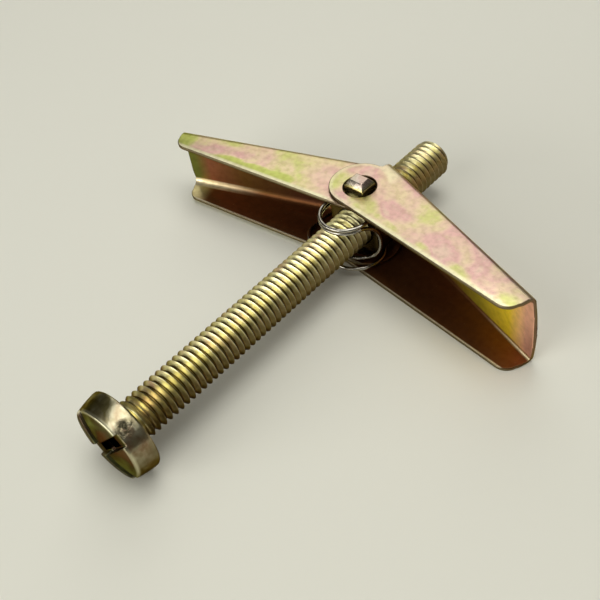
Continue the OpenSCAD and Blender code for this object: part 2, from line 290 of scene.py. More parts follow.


# The thread's film: straw gold on the upper side, with painted shade in brown from
# near the axis down, in the roots and where it is seen at a low angle. The crests
# are pale: rubbed metal with a painted highlight. Each pair of places is where a
# colour begins and where it is full.
gold_stops = [
    (0.34, (0.66, 0.58, 0.25)),
    (0.5, (0.84, 0.78, 0.41)),
    (0.62, (0.80, 0.67, 0.37)),
    (0.7, (0.66, 0.48, 0.28)),
]
# painted shade: brown on the underside and on the crests low down
painted_underside_shade = (0.14, 0.09, 0.03)
# pale crests: rubbed metal with a painted highlight
rubbed_crest_and_highlight, painted_crest_shade = (0.84, 0.78, 0.54), (0.30, 0.22, 0.10)
painted_root_shade = (0.20, 0.13, 0.04)
painted_grazing_shade = (0.16, 0.11, 0.04)
speck_brown = (0.16, 0.10, 0.03)
underside_shade_z = (2.2 * mm, 0.2 * mm)
crest_from_axis = (2.90 * mm, 2.94 * mm)
root_shade_from_axis = (2.46 * mm, 2.38 * mm)
thread_zinc, tree, shader, place = new_finish("thread_zinc", 1.0, 0.35, edge_tint=(0.26, 0.20, 0.09))
x, y, z = parts_of(tree, place)
from_axis = distance_out(tree, z, x)
gold = tinted(tree, noise(tree, place, 330.0, detail=3.0, roughness=0.6, distortion=0.5), gold_stops)
# painted shade: browner from near the axis down
painted_shade_below = maths(tree, "MULTIPLY", fade(tree, z, *underside_shade_z), 0.85)
gold = mixed(tree, painted_shade_below, gold, painted_underside_shade)
crest_film = mixed(tree, maths(tree, "MULTIPLY", painted_shade_below, 0.5), rubbed_crest_and_highlight, painted_crest_shade)
# pale crests: rubbed metal with a painted highlight
film = mixed(tree, fade(tree, from_axis, *crest_from_axis), gold, crest_film)
# painted shade in the thread's roots
film = mixed(tree, fade(tree, from_axis, *root_shade_from_axis), film, painted_root_shade)
peel = placed(tree, grain, Vector=place, Strength=0.2, Fineness=1.2)
# painted shade where the thread is seen at a low angle
facing = tree.nodes.new("ShaderNodeLayerWeight")
facing.inputs["Blend"].default_value = 0.5
grazing_shade = maths(tree, "MULTIPLY", fade(tree, facing.outputs["Facing"], 0.4, 0.85), 0.8)
film = mixed(tree, grazing_shade, film, painted_grazing_shade)
film = mixed(tree, maths(tree, "MULTIPLY", peel["Specks"], 0.6), film, speck_brown)
tree.links.new(film, shader.inputs["Base Color"])
tree.links.new(peel["Normal"], shader.inputs["Normal"])


def grown(name, mesh, tree, material, sizes):
    """An object whose mesh a geometry tree makes, as a plain closed mesh."""
    obj = bpy.data.objects.new(name, mesh)
    bpy.context.scene.collection.objects.link(obj)
    modifier = obj.modifiers.new(tree.name, "NODES")
    modifier.node_group = tree
    for item in tree.interface.items_tree:
        if item.in_out == "INPUT" and item.name in sizes:
            modifier[item.identifier] = sizes[item.name]
        elif item.in_out == "INPUT" and item.name == "Material":
            modifier[item.identifier] = material
    obj.data = bpy.data.meshes.new_from_object(obj.evaluated_get(bpy.context.evaluated_depsgraph_get()))
    obj.data.name = name
    obj.modifiers.clear()
    bm = bmesh.new()
    bm.from_mesh(obj.data)
    bmesh.ops.dissolve_degenerate(bm, dist=1e-7, edges=bm.edges)
    bmesh.ops.recalc_face_normals(bm, faces=bm.faces)
    bm.to_mesh(obj.data)
    bm.free()
    return obj


shank_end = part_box("screw")[1][1]
thread = grown(
    "screw_thread",
    bpy.data.meshes.new("screw_thread"),
    thread_tree,
    thread_zinc,
    {
        "Pitch": thread_pitch,
        "Crest radius": crest_r,
        "Depth": groove_depth,
        "Start": thread_start,
        "End": shank_end - inside_box,
        "Chamfer": tip_chamfer,
        "Run-out": run_out,
        "Columns": columns_a_turn,
        "Rows": rows_a_pitch,
    },
)
thread.data.set_sharp_from_angle(angle=math.radians(50))
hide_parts("screw")
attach(thread, "screw")

# Screw head: a pan head cold formed on the shank, with a domed face, a crisp
# rim, two shallow crossed slots and a deeper cross recess. Pressing the slots
# left crumpled metal on the side. Its film is dull, olive and brown on the face.
head_r = 5.88
face_r = 5.4
side_h = 3.3
dome_h = 0.83
under_r = 0.3
side_curve = 1.5
around = 96
slot_w = 1.8
slot_depth = 0.4
slot_angle = 45
cutter_reach = 8
recess_w = 0.84 * slot_w
recess_depth = 2.2
recess_r = 3.4
recess_floor_r = 0.4 * recess_r
dome_ball = (face_r**2 + dome_h**2) / (2 * dome_h)
outline = [
    (head_r - under_r + under_r * math.cos(a), -under_r + under_r * math.sin(a))
    for a in np.radians(np.linspace(90, 0, 7))
]
outline += [
    (head_r - (head_r - face_r) * t**side_curve, -under_r - (side_h - under_r) * t)
    for t in np.linspace(0.1, 1.0, 10)
]
outline += [
    (face_r * t, -side_h - dome_h + dome_ball - math.sqrt(dome_ball**2 - (face_r * t) ** 2))
    for t in np.linspace(0.94, 0.07, 14)
]
bm = bmesh.new()
turned = [2 * math.pi * j / around for j in range(around)]
rings = []
for r, y in outline:
    rings.append([bm.verts.new((r * math.sin(a) * mm, y * mm, r * math.cos(a) * mm)) for a in turned])
for low, high in zip(rings, rings[1:]):
    for j in range(around):
        bm.faces.new((low[j], low[j - 1], high[j - 1], high[j]))
bm.faces.new(rings[0])
bm.faces.new(rings[-1])
bmesh.ops.recalc_face_normals(bm, faces=bm.faces)
head_mesh = bpy.data.meshes.new("screw_head")
bm.to_mesh(head_mesh)
bm.free()


def bar_tool(name, shape, half, angle):
    """A cutter: an outline in X and Y, in millimetres, as thick as twice half and turned about Y."""
    bm = bmesh.new()
    low = [bm.verts.new((x * mm, y * mm, -half * mm)) for x, y in shape]
    high = [bm.verts.new((x * mm, y * mm, half * mm)) for x, y in shape]
    bm.faces.new(low)
    bm.faces.new(high[::-1])
    for i in range(len(shape)):
        bm.faces.new((low[i], high[i], high[i - 1], low[i - 1]))
    turned = Matrix.Rotation(math.radians(angle), 3, "Y")
    bmesh.ops.rotate(bm, cent=(0, 0, 0), matrix=turned, verts=bm.verts)
    bmesh.ops.recalc_face_normals(bm, faces=bm.faces)
    mesh = bpy.data.meshes.new(name)
    bm.to_mesh(mesh)
    bm.free()
    tool = bpy.data.objects.new(name, mesh)
    bpy.context.scene.collection.objects.link(tool)
    return tool


above_face = -(side_h + dome_h + 0.5)
slot_floor = -(side_h - slot_depth)
recess_floor = -(side_h - recess_depth)
slot_shape = [
    (-cutter_reach, above_face),
    (cutter_reach, above_face),
    (cutter_reach, slot_floor),
    (-cutter_reach, slot_floor),
]
recess_shape = [
    (-recess_r, above_face),
    (recess_r, above_face),
    (recess_r, slot_floor),
    (recess_floor_r, recess_floor),
    (-recess_floor_r, recess_floor),
    (-recess_r, slot_floor),
]
tools = []
for angle in (slot_angle, slot_angle + 90):
    tools.append(bar_tool(f"slot_{angle}", slot_shape, slot_w / 2, angle))
    tools.append(bar_tool(f"recess_{angle}", recess_shape, recess_w / 2, angle))

# The head's film: straw on the side, browner low down as painted shade, with a
# painted highlight along the rim; olive and brown on the face, carried into the
# slots as dirt and painted shade; dull brown in the recess as painted shade; and
# dark on crumpled metal.
side_stops = [(0.36, (0.22, 0.19, 0.08)), (0.5, (0.50, 0.46, 0.30)), (0.64, (0.36, 0.25, 0.15))]
face_stops = [
    (0.36, (0.25, 0.27, 0.13)),
    (0.46, (0.165, 0.16, 0.08)),
    (0.56, (0.12, 0.105, 0.065)),
    (0.64, (0.15, 0.095, 0.06)),
]
mottle_stops = [(0.36, (0.62, 0.57, 0.48)), (0.6, (1.0, 1.0, 1.0))]
painted_head_side_shade = (0.13, 0.10, 0.05)
painted_rim_highlight = (0.72, 0.68, 0.45)
painted_recess_shade = (0.20, 0.12, 0.07)
crumple_dark = (0.09, 0.08, 0.045)
head_shade_z = (3.2 * mm, -0.4 * mm)
side_rim_highlight_y = (-2.8 * mm, -3.2 * mm)
dome_y = (-3.18 * mm, -3.4 * mm)
slot_shade_y = (-2.6 * mm, -2.9 * mm)
slot_shade_from_axis = (5.4 * mm, 5.2 * mm)
face_rim_highlight_from_axis = (5.0 * mm, 5.4 * mm)
recess_shade_from_axis = (3.52 * mm, 3.44 * mm)
recess_shade_y = (-2.89 * mm, -2.83 * mm)
crumple_centre = (3.45 * mm, -1.9 * mm, 4.62 * mm)
crumple_reach = (1.9 * mm, 1.0 * mm)
crumple_ragged = 0.9 * mm
fold_height = 0.4 * mm
head_zinc, tree, shader, place = new_finish("head_zinc", 1.0, 0.3, edge_tint=(0.30, 0.25, 0.12))
x, y, z = parts_of(tree, place)
from_axis = distance_out(tree, z, x)
side_film = tinted(tree, noise(tree, place, 210.0, detail=3.0, roughness=0.6, distortion=0.6), side_stops)
face_film = tinted(tree, noise(tree, place, 300.0, detail=2.0, roughness=0.5, distortion=0.5), face_stops)
# painted shade: the side browner low down
painted_shade_below = maths(tree, "MULTIPLY", fade(tree, z, *head_shade_z), 0.8)
side_film = mixed(tree, painted_shade_below, side_film, painted_head_side_shade)
peel = placed(tree, grain, Vector=place, Strength=0.5, Fineness=0.8)
mottle = tinted(tree, peel["Peel"], mottle_stops)
side_film = mixed(tree, 0.8, side_film, mottle, "MULTIPLY")
# painted highlight on the side along the rim
side_rim_highlight = maths(tree, "MULTIPLY", fade(tree, y, *side_rim_highlight_y), 0.6)
side_film = mixed(tree, side_rim_highlight, side_film, painted_rim_highlight)
on_dome = fade(tree, y, *dome_y)
# the slots take the face's darker film: dirt and painted shade
slot_dirt_and_shade = fade(tree, y, *slot_shade_y)
slot_dirt_and_shade = maths(tree, "MULTIPLY", slot_dirt_and_shade, fade(tree, from_axis, *slot_shade_from_axis))
on_face = maths(tree, "MAXIMUM", on_dome, slot_dirt_and_shade)
film = mixed(tree, on_face, side_film, face_film)
# painted highlight on the face along the rim
face_rim_highlight = maths(tree, "MULTIPLY", fade(tree, from_axis, *face_rim_highlight_from_axis), on_face)
film = mixed(tree, maths(tree, "MULTIPLY", face_rim_highlight, 0.7), film, painted_rim_highlight)
# painted shade: dull brown in the recess, which is also less metallic
recess_shade = fade(tree, from_axis, *recess_shade_from_axis)
recess_shade = maths(tree, "MULTIPLY", recess_shade, fade(tree, y, *recess_shade_y))
film = mixed(tree, recess_shade, film, painted_recess_shade)
tree.links.new(maths(tree, "MULTIPLY_ADD", recess_shade, -0.7, 1.0), shader.inputs["Metallic"])
from_crumple = tree.nodes.new("ShaderNodeVectorMath")
from_crumple.operation = "DISTANCE"
from_crumple.inputs[1].default_value = crumple_centre
tree.links.new(place, from_crumple.inputs[0])
ragged = noise(tree, place, 900.0, detail=2.0)
ragged = maths(tree, "MULTIPLY_ADD", ragged, crumple_ragged, from_crumple.outputs["Value"])
crumpled = fade(tree, ragged, *crumple_reach)
crumple = noise(tree, place, 1500.0, detail=3.0, roughness=0.7)
film = mixed(tree, maths(tree, "MULTIPLY", crumpled, fade(tree, crumple, 0.62, 0.46)), film, crumple_dark)
folds = tree.nodes.new("ShaderNodeBump")
folds.inputs["Distance"].default_value = fold_height
fold = maths(tree, "MULTIPLY", maths(tree, "SUBTRACT", crumple, 0.5), crumpled)
tree.links.new(fold, folds.inputs["Height"])
tree.links.new(peel["Normal"], folds.inputs["Normal"])
tree.links.new(film, shader.inputs["Base Color"])
tree.links.new(folds.outputs[0], shader.inputs["Normal"])


def cut_and_softened(obj, tools, width, segments, angle):
    """Cuts tools from an object and rounds its edges, as a plain smooth mesh."""
    for tool in tools:
        cut = obj.modifiers.new(tool.name, "BOOLEAN")
        cut.solver = "EXACT"
        cut.object = tool
    soft = obj.modifiers.new("soft_edges", "BEVEL")
    soft.width = width
    soft.segments = segments
    soft.limit_method = "ANGLE"
    soft.angle_limit = math.radians(angle)
    soft.use_clamp_overlap = False
    material = obj.data.materials[0]
    name = obj.data.name
    obj.data = bpy.data.meshes.new_from_object(obj.evaluated_get(bpy.context.evaluated_depsgraph_get()))
    obj.data.name = name
    obj.modifiers.clear()
    obj.data.materials.clear()
    obj.data.materials.append(material)
    obj.data.shade_smooth()
    obj.data.set_sharp_from_angle(angle=math.radians(38))
    for tool in tools:
        bpy.data.objects.remove(tool)


head = bpy.data.objects.new("screw_head", head_mesh)
bpy.context.scene.collection.objects.link(head)
head.data.materials.append(head_zinc)
cut_and_softened(head, tools, width=0.1 * mm, segments=3, angle=26)
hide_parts("screw")
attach(head, "screw")

# Trunnion nut: a tapped steel block with a square stub at each end, all one
# piece and zinc plated. The ends of the stubs are swaged to blunt pyramids,
# which keeps the wings on.
nut_side_stops = [(0.4, (0.34, 0.29, 0.11)), (0.52, (0.54, 0.48, 0.24)), (0.64, (0.40, 0.29, 0.15))]
stub_end_stops = [(0.4, (0.52, 0.46, 0.33)), (0.52, (0.66, 0.55, 0.45)), (0.64, (0.60, 0.45, 0.36))]
painted_block_shade = (0.10, 0.07, 0.03)
nut_speck = (0.12, 0.08, 0.04)
stub_end_z = (6.6 * mm, 7.0 * mm)
block_shade_z = (5.6 * mm, 4.2 * mm)
sheared_edge = 0.12 * mm
nut_zinc, tree, shader, place = new_finish("nut_zinc", 1.0, 0.27)
x, y, z = parts_of(tree, place)
height = maths(tree, "ABSOLUTE", z)
sides = tinted(tree, noise(tree, place, 420.0), nut_side_stops)
ends = tinted(tree, noise(tree, place, 500.0), stub_end_stops)
film = mixed(tree, fade(tree, height, *stub_end_z), sides, ends)
# painted shade on the block between the stubs, under the wings
film = mixed(tree, fade(tree, height, *block_shade_z), film, painted_block_shade)
peel = placed(tree, grain, Vector=place, Strength=0.45, Fineness=1.0)
film = mixed(tree, maths(tree, "MULTIPLY", peel["Specks"], 0.5), film, nut_speck)
tree.links.new(film, shader.inputs["Base Color"])
tree.links.new(peel["Normal"], shader.inputs["Normal"])


def merged_copy(node_name, name, material):
    """A copy of a CAD node as whole faces, not loose triangles, with a material."""
    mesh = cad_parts[node_name].data.copy()
    mesh.name = name
    bm = bmesh.new()
    bm.from_mesh(mesh)
    bmesh.ops.remove_doubles(bm, verts=bm.verts, dist=1e-7)
    bmesh.ops.dissolve_limit(bm, angle_limit=math.radians(1), verts=bm.verts, edges=bm.edges)
    bm.to_mesh(mesh)
    bm.free()
    mesh.materials.clear()
    mesh.materials.append(material)
    obj = bpy.data.objects.new(name, mesh)
    bpy.context.scene.collection.objects.link(obj)
    return obj


nut = merged_copy("trunnion_nut", "nut_block", nut_zinc)
cut_and_softened(nut, [], width=sheared_edge, segments=3, angle=25)
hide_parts("trunnion_nut")
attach(nut, "nut")

# Wings: each is one blank of steel sheet, pierced and folded to a channel, whose
# cheeks taper to the tip and end in ears round the pivot. The film is rose and
# straw, yellow-green where it is thin, with painted highlights along its open
# edges and painted shade on its outer folds and cut edges. Inside the channel the
# dark and brown are painted shade, with painted highlights on the lower cheek and
# the fold.
sheet_t = 0.55 * mm
pivot_y = 45.7 * mm
web_out = 6.39 * mm
ear_x, ear_y, ear_r = -0.5 * mm, 0.4 * mm, 4.5 * mm
taper = math.radians(11.4)
line_u = ear_x + ear_r * math.sin(taper)
line_w = ear_y - ear_r * math.cos(taper)
# Painted highlights and painted shade for the wings' edges, folds and lower cheeks.
painted_edge_highlight = (0.93, 0.86, 0.55)
painted_lower_cheek_shade = (0.16, 0.06, 0.02)
painted_lower_edge_highlight = (0.85, 0.76, 0.52)
painted_outer_fold_shade = (0.26, 0.19, 0.08)
wing_mottle = [(0.3, (0.80, 0.78, 0.74)), (0.6, (1.0, 1.0, 1.0))]
wing_speck = (0.35, 0.27, 0.14)
painted_edge_shade = (0.10, 0.065, 0.03)
lower_edge_highlight_reach = (0.32 * mm, 0.14 * mm)
lobe_light_reach = (0.86, 0.96)
tip_shine = (0.98, 0.9)
fold_highlight_reach = (19 * mm, 32 * mm)
outside_roughness, channel_rougher = 0.33, 0.25
channel_matt = 0.25
zinc_film, given, result = new_tree(
    "iridescent_zinc",
    "ShaderNodeTree",
    [
        ("Vector", "NodeSocketVector", None),
        ("Thinner", "NodeSocketFloat", 0.0),
        ("Rim", "NodeSocketFloat", 0.0),
    ],
    [("Color", "NodeSocketColor")],
)
drift = noise(zinc_film, given["Vector"], 110.0, detail=3.0, roughness=0.5, distortion=0.8)
blotch = noise(zinc_film, given["Vector"], 620.0, detail=3.0, roughness=0.65)
thick = maths(zinc_film, "MULTIPLY_ADD", blotch, 0.28, maths(zinc_film, "ADD", drift, 0.11))
thick = maths(zinc_film, "SUBTRACT", thick, given["Thinner"])
colour = tinted(
    zinc_film,
    thick,
    [
        (0.38, (0.56, 0.60, 0.17)),
        (0.52, (0.66, 0.64, 0.25)),
        (0.64, (0.78, 0.64, 0.38)),
        (0.76, (0.79, 0.57, 0.42)),
        (0.86, (0.76, 0.47, 0.41)),
        (0.98, (0.78, 0.58, 0.44)),
    ],
)
colour = mixed(zinc_film, given["Rim"], colour, painted_edge_highlight)
zinc_film.links.new(colour, result["Color"])


def along_and_across(tree, x, y, side, lean):
    """Places along a wing, u, and out from the pivot to its web, w; lean is in radians."""
    rise = maths(tree, "SUBTRACT", y, pivot_y)
    out = maths(tree, "MULTIPLY", x, side)
    u = maths(tree, "MULTIPLY_ADD", out, math.cos(lean), maths(tree, "MULTIPLY", rise, -math.sin(lean)))
    w = maths(tree, "MULTIPLY_ADD", out, math.sin(lean), maths(tree, "MULTIPLY", rise, math.cos(lean)))
    return u, w


def thinner_film(tree, place, u, w, base, spots):
    """How much thinner the film is; each ragged oval is its u and w, its reach in both, and an amount."""
    ragged = noise(tree, place, 420.0, detail=3.0, roughness=0.6)
    ragged = maths(tree, "MULTIPLY", maths(tree, "SUBTRACT", ragged, 0.5), 0.9)
    thinner = base
    for centre_u, centre_w, reach_u, reach_w, amount in spots:
        along = maths(tree, "DIVIDE", maths(tree, "SUBTRACT", u, centre_u * mm), reach_u * mm)
        across = maths(tree, "DIVIDE", maths(tree, "SUBTRACT", w, centre_w * mm), reach_w * mm)
        far = maths(tree, "MULTIPLY_ADD", along, along, maths(tree, "MULTIPLY", across, across))
        mask = maths(tree, "MULTIPLY", fade(tree, maths(tree, "ADD", far, ragged), 1.6, 0.2), amount)
        thinner = maths(tree, "ADD", thinner, mask)
    return thinner


def painted_edge_highlights(tree, u, w, from_edge):
    """The painted highlight along a cheek's open edge, and a fainter one round its ear."""
    edge_band = fade(tree, from_edge, 0.9 * mm, 0.35 * mm)
    edge_band = maths(tree, "MULTIPLY", edge_band, fade(tree, u, 1.0 * mm, 5.0 * mm))
    from_ear = distance_out(tree, maths(tree, "SUBTRACT", u, ear_x), maths(tree, "SUBTRACT", w, ear_y))
    ear_band = fade(tree, from_ear, ear_r - 0.9 * mm, ear_r - 0.3 * mm)
    ear_band = maths(tree, "MULTIPLY", ear_band, fade(tree, u, 3.0 * mm, 1.0 * mm))
    return maths(tree, "MULTIPLY_ADD", ear_band, 0.6, edge_band)


def folded_wing(
    name, side, half, length, lean, fold_in, web_tone_and_shade_stops, lobe_painted_light, painted_fold_highlight, base_thin, thin_places
):
    """A wing from its CAD node; half is half its width and lean its angle, and the rest is its film with its
    painted light and shade.
    """
    lean = math.radians(lean)
    wing_zinc, tree, shader, place = new_finish(name + "_zinc", 1.0, outside_roughness)
    x, y, z = parts_of(tree, place)
    u, w = along_and_across(tree, x, y, side, lean)
    height = maths(tree, "ABSOLUTE", z)
    edge_w = maths(tree, "MULTIPLY_ADD", maths(tree, "SUBTRACT", u, line_u), math.tan(taper), line_w)
    from_edge = maths(tree, "MULTIPLY", maths(tree, "SUBTRACT", w, edge_w), math.cos(taper))

    # Outside: the iridescent film, with painted shade on the outer side of each fold.
    thinner = thinner_film(tree, place, u, w, base_thin, thin_places)
    # painted highlight along the open edges and round the ear
    rim = painted_edge_highlights(tree, u, w, from_edge)
    film = placed(tree, zinc_film, Vector=place, Thinner=thinner, Rim=rim)["Color"]
    outer_fold_shade = maths(tree, "MULTIPLY", fade(tree, w, web_out - 0.5 * mm, web_out - 0.15 * mm), 0.8)
    outer_fold_shade = maths(tree, "MULTIPLY", outer_fold_shade, fade(tree, height, half - 1.2 * mm, half - 0.7 * mm))
    film = mixed(tree, outer_fold_shade, film, painted_outer_fold_shade)

    # Inside: the web's colours along the wing, dark towards the pivot as painted
    # shade; the lower cheek in painted shade, its lobe painted lit on the left wing;
    # and a painted highlight on the lower cheek's edge and on the fold between them.
    inner_z = maths(tree, "LESS_THAN", height, half - 0.35 * mm)
    inside = maths(tree, "MULTIPLY", inner_z, maths(tree, "LESS_THAN", w, web_out - 0.35 * mm))
    web = tinted(tree, maths(tree, "DIVIDE", u, length), web_tone_and_shade_stops)
    # the lobe's painted light: lit pale on the left wing, shaded dark on the right
    lobe_light_mask = fade(tree, u, length * lobe_light_reach[0], length * lobe_light_reach[1])
    # painted shade on the lower cheek, with painted light on its lobe
    lower = mixed(tree, lobe_light_mask, painted_lower_cheek_shade, lobe_painted_light)
    # painted highlight along the lower cheek's open edge
    lower = mixed(tree, fade(tree, from_edge, *lower_edge_highlight_reach), lower, painted_lower_edge_highlight)
    lower_cheek = fade(tree, z, -half + 1.2 * mm, -half + 0.8 * mm)
    fold_z = sheet_t - half + fold_in
    fold_w = web_out - sheet_t - fold_in
    # painted highlight on the inner fold
    fold_highlight = fade(tree, z, fold_z, fold_z - 0.3 * mm)
    fold_highlight = maths(tree, "MULTIPLY", fold_highlight, fade(tree, w, fold_w, fold_w + 0.3 * mm))
    fold_highlight = maths(tree, "MULTIPLY", fold_highlight, fade(tree, u, *fold_highlight_reach))
    inner = mixed(tree, fold_highlight, mixed(tree, lower_cheek, web, lower), painted_fold_highlight)

    # Both, with the plating's mottle and specks, and painted shade on the sheet's cut edges.
    colour = mixed(tree, inside, film, inner)
    peel = placed(tree, grain, Vector=place, Strength=0.4, Fineness=1.0)
    colour = mixed(tree, 0.8, colour, tinted(tree, peel["Peel"], wing_mottle), "MULTIPLY")
    colour = mixed(tree, maths(tree, "MULTIPLY", peel["Specks"], 0.35), colour, wing_speck)
    edge = tree.nodes.new("ShaderNodeAttribute")
    edge.attribute_name = "edge_shade_mask"
    # painted shade on the sheet's cut edges
    colour = mixed(tree, maths(tree, "MULTIPLY", edge.outputs["Fac"], 0.85), colour, painted_edge_shade)
    tree.links.new(colour, shader.inputs["Base Color"])
    dull = maths(tree, "MULTIPLY_ADD", lower_cheek, -0.8, 1.0)
    dull = maths(tree, "MULTIPLY", dull, fade(tree, u, length * tip_shine[0], length * tip_shine[1]))
    dull = maths(tree, "MULTIPLY", inside, dull)
    roughness = maths(tree, "MULTIPLY_ADD", dull, channel_rougher, outside_roughness)
    tree.links.new(roughness, shader.inputs["Roughness"])
    matt = maths(tree, "MULTIPLY", inside, maths(tree, "LESS_THAN", edge.outputs["Fac"], 0.5))
    metallic = maths(tree, "MULTIPLY_ADD", matt, -channel_matt, 1.0)
    tree.links.new(metallic, shader.inputs["Metallic"])
    tree.links.new(peel["Normal"], shader.inputs["Normal"])

    # The cut edges, painted in shade, are the sheet's narrow walls round the cheeks
    # and its end at the tip.
    wing = merged_copy(name, name + "_sheet", wing_zinc)
    cut_and_softened(wing, [], width=sheared_edge, segments=3, angle=40)
    edge_shade_mask = wing.data.attributes.new("edge_shade_mask", "FLOAT", "FACE")
    along_wing = Vector((side * math.cos(lean), -math.sin(lean), 0.0))
    across_wing = Vector((side * math.sin(lean), math.cos(lean), 0.0))
    pivot = Vector((0.0, pivot_y, 0.0))
    for face, value in zip(wing.data.polygons, edge_shade_mask.data):
        in_cheek = abs(face.center.z) > half - 0.6 * mm
        short_of_web = abs((face.center - pivot).dot(across_wing)) < web_out - 1.2 * mm
        steepest = 0.97 if face.center.z > 0.0 else 0.8
        on_wall = in_cheek and short_of_web and abs(face.normal.z) < steepest
        if on_wall or abs(face.normal.dot(along_wing)) > 0.7:
            value.value = 1.0
    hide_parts(name)
    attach(wing, name)


folded_wing(
    "wing_right",
    side=1,
    half=6.02 * mm,
    length=31.3 * mm,
    lean=19.6,
    fold_in=0.45 * mm,
    # web tones; the dark end towards the pivot is painted shade
    web_tone_and_shade_stops=[
        (0.4, (0.20, 0.08, 0.02)),
        (0.62, (0.45, 0.36, 0.03)),
        (0.84, (0.92, 0.68, 0.04)),
        (0.95, (0.95, 0.52, 0.36)),
    ],
    # the lobe in painted shade
    lobe_painted_light=(0.16, 0.06, 0.02),
    painted_fold_highlight=(0.62, 0.50, 0.30),
    base_thin=0.0,
    thin_places=(
        (-2.8, -1.9, 2.3, 2.4, 0.26),
        (3.4, -1.6, 3.6, 1.6, 0.26),
        (9.5, -1.3, 3.0, 0.8, 0.15),
        (15.8, 0.0, 1.6, 0.8, 0.24),
        (21.6, 1.3, 2.4, 0.8, 0.18),
        (29.4, 3.0, 1.8, 1.6, 0.14),
        (6.5, 4.0, 7.0, 1.8, 0.14),
        (17.5, 2.0, 4.0, 1.6, -0.10),
        (24.5, 2.9, 3.0, 1.5, -0.10),
        (7.4, 0.9, 2.6, 1.5, -0.12),
    ),
)
folded_wing(
    "wing_left",
    side=-1,
    half=5.39 * mm,
    length=32.5 * mm,
    lean=17.2,
    fold_in=1.05 * mm,
    # web tones; the dark end towards the pivot is painted shade
    web_tone_and_shade_stops=[
        (0.4, (0.10, 0.035, 0.015)),
        (0.7, (0.15, 0.07, 0.015)),
        (0.89, (0.27, 0.095, 0.045)),
        (0.96, (0.14, 0.15, 0.025)),
    ],
    # the lobe in painted light
    lobe_painted_light=(0.92, 0.78, 0.38),
    painted_fold_highlight=(0.92, 0.77, 0.46),
    base_thin=0.05,
    thin_places=(
        (31.0, 4.0, 2.2, 3.0, 0.32),
        (26.7, 0.9, 3.0, 0.9, 0.26),
        (22.0, 1.2, 2.8, 0.9, 0.28),
        (18.0, 0.2, 3.2, 1.0, 0.36),
        (13.6, -0.8, 3.4, 1.2, 0.36),
        (23.9, 5.1, 3.6, 1.2, 0.2),
        (19.8, 2.7, 2.2, 0.9, -0.14),
        (26.3, 2.7, 2.4, 0.7, -0.10),
        (6.5, 0.0, 6.0, 3.4, -0.10),
    ),
)

# Spring: one length of round spring steel wire, left plain. It has two turns
# over each side of the nut, a bridge down one side, and two legs that press on
# the webs.
wire_r = 0.275
coil_clear = 0.05
stub_half_w = (4.7 / 2 - 0.18) / math.hypot(1, 0.84)
stub_back = 0.84 * stub_half_w
nut_half_t = 2.1
nut_half_w = 4.2
web_inner = 5.84
mean_lean = 18.4
lean_gap = 1.2
layer_1 = 3.9
layer_2 = 4.4625
upper_r, lower_r, outer_r = 3.65, 3.2, 4.1
upper_x = 0.7
right_leg_u, left_leg_u = 9.5, 5
wire_step = 0.22 * mm
wire_sides = 14
wire_stops = [(0.34, (0.20, 0.18, 0.14)), (0.5, (0.42, 0.39, 0.32)), (0.66, (0.62, 0.59, 0.52))]


def back_centre(x, r):
    """Centre of the back of a turn that just clears the stub's far corner."""
    return stub_back - math.sqrt((r - wire_r - coil_clear) ** 2 - (stub_half_w + abs(x)) ** 2)


def turn_of_wire(x, y, r, a0, a1, z0, z1, x1=None, y1=None, r1=None):
    """Part of a turn from angle a0 to a1, whose centre, radius and height change evenly."""
    count = max(2, round(abs(a1 - a0) / 15))
    points = []
    for i in range(count + 1):
        f = i / count
        a = math.radians(a0 + (a1 - a0) * f)
        cx = x if x1 is None else x + (x1 - x) * f
        cy = y if y1 is None else y + (y1 - y) * f
        cr = r if r1 is None else r + (r1 - r) * f
        points.append(Vector((cx + cr * math.cos(a), cy + cr * math.sin(a), z0 + (z1 - z0) * f)))
    return points


def wire_bend(p0, out, p3, back, count):
    """A smooth bend from p0 to p3, with the handle out at p0 and the handle back at p3."""
    p1 = p0 + Vector(out)
    p2 = p3 + Vector(back)
    points = []
    for i in range(1, count + 1):
        f = i / (count + 1)
        g = 1 - f
        points.append(g**3 * p0 + 3 * f * g * g * p1 + 3 * f * f * g * p2 + f**3 * p3)
    return points


def on_web(side, u, z):
    """A point against the inside of a web, u along the wing."""
    w = web_inner - wire_r - coil_clear
    a = math.radians(mean_lean + side * lean_gap)
    return Vector((side * (u * math.cos(a) + w * math.sin(a)), w * math.cos(a) - u * math.sin(a), z))


def on_turn(x, y, r, angle, z):
    """A point of a turn of wire, at an angle in degrees."""
    return Vector((x + r * math.cos(math.radians(angle)), y + r * math.sin(math.radians(angle)), z))


upper_back, upper_front = back_centre(upper_x, upper_r), upper_r - 7.8
lower_back, lower_front = back_centre(0, lower_r), lower_r - 4.2
outer_back = back_centre(0, outer_r)
coil_start = turn_of_wire(upper_x, upper_back, upper_r, 80, 180, layer_2, layer_2)
bridge_top = on_turn(upper_x, upper_front, upper_r, -20, layer_1)
bridge_mid = Vector((nut_half_w + 2 * wire_r + 0.25, -nut_half_t - wire_r, 0))
bridge_low = on_turn(0, lower_front, lower_r, -50, -layer_1)
leg_start = on_web(1, right_leg_u, layer_2)
right_leg = [leg_start]
right_leg += wire_bend(leg_start, (-3, 0.6, 0), coil_start[0], (2.5, 0.2, 0), 4)
right_leg += [coil_start[0]]
coils = list(coil_start)
coils += turn_of_wire(upper_x, upper_front, upper_r, 180, 360, layer_2, layer_2)
coils += turn_of_wire(upper_x, upper_back, upper_r, 0, 60, layer_2 - 0.1875, layer_1)
coils += turn_of_wire(upper_x, upper_back, upper_r, 75, 180, layer_1, layer_1)
coils += turn_of_wire(upper_x, upper_front, upper_r, 180, 340, layer_1, layer_1)
coils += wire_bend(bridge_top, (0.4, 1.1, 0), bridge_mid, (0, 0, 2.6), 7)
coils += [bridge_mid]
